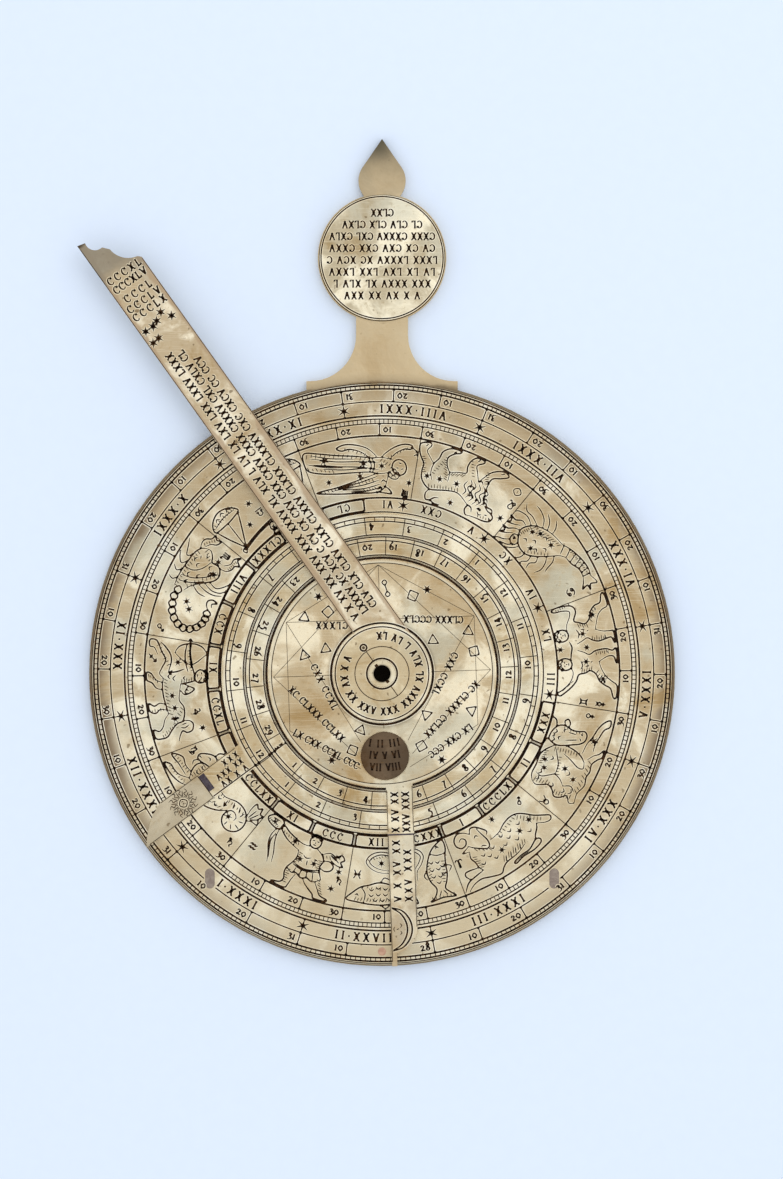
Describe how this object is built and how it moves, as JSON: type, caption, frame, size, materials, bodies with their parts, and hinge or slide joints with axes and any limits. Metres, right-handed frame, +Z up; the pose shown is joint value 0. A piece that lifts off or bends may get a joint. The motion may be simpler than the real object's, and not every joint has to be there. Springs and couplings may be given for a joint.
{
  "type": "nocturnal dial",
  "caption": "Flat brass nocturnal dial with handle: calendar plate under turning sun and moon discs with pointers and a long index arm, on a hollow sighting pivot.",
  "frame": {"origin": "on the pivot axis, at the back face that the dial lies on", "axes": "+Z up out of the dial's face along the sighting hole, +Y along the handle towards its finial"},
  "size_m": [0.1262, 0.175, 0.0056],
  "materials": {
    "brass_plate": "old engraved brass, rubbed and cloudy",
    "bright_brass": "old engraved brass, rubbed paler",
    "dull_brass": "greyer worn brass of the pointers",
    "dark_brass": "tarnished dark brown",
    "grey_steel": "dull grey metal, filed flush",
    "solder": "dark grey soft solder",
    "copper": "pink copper rivet, filed flush"
  },
  "bodies": {
    "base": {"back_plate": "brass_plate", "calendar_plate": "brass_plate", "handle_roundel": "brass_plate", "plate_tenons": "grey_steel", "plate_rivet": "copper", "pivot_screw": "bright_brass", "pivot_nut": "brass_plate"},
    "sun": {"sun_disc": "bright_brass", "phase_ring": "dark_brass", "sun_pointer_tip": "dull_brass", "sun_pointer_solder": "solder"},
    "moon": {"moon_disc": "bright_brass", "moon_pointer_tip": "dull_brass", "moon_pointer_solder": "solder"},
    "arm": {"index_arm": "bright_brass", "hub_disc": "bright_brass", "hub_rivet": "grey_steel"}
  },
  "joints": [
    {"name": "sun_turn", "type": "hinge", "parent": "base", "child": "sun", "pos_m": [0, 0, 0], "axis": [0, 0, 1], "continuous": true},
    {"name": "moon_turn", "type": "hinge", "parent": "base", "child": "moon", "pos_m": [0, 0, 0], "axis": [0, 0, 1], "continuous": true},
    {"name": "arm_turn", "type": "hinge", "parent": "base", "child": "arm", "pos_m": [0, 0, 0], "axis": [0, 0, 1], "continuous": true}
  ]
}
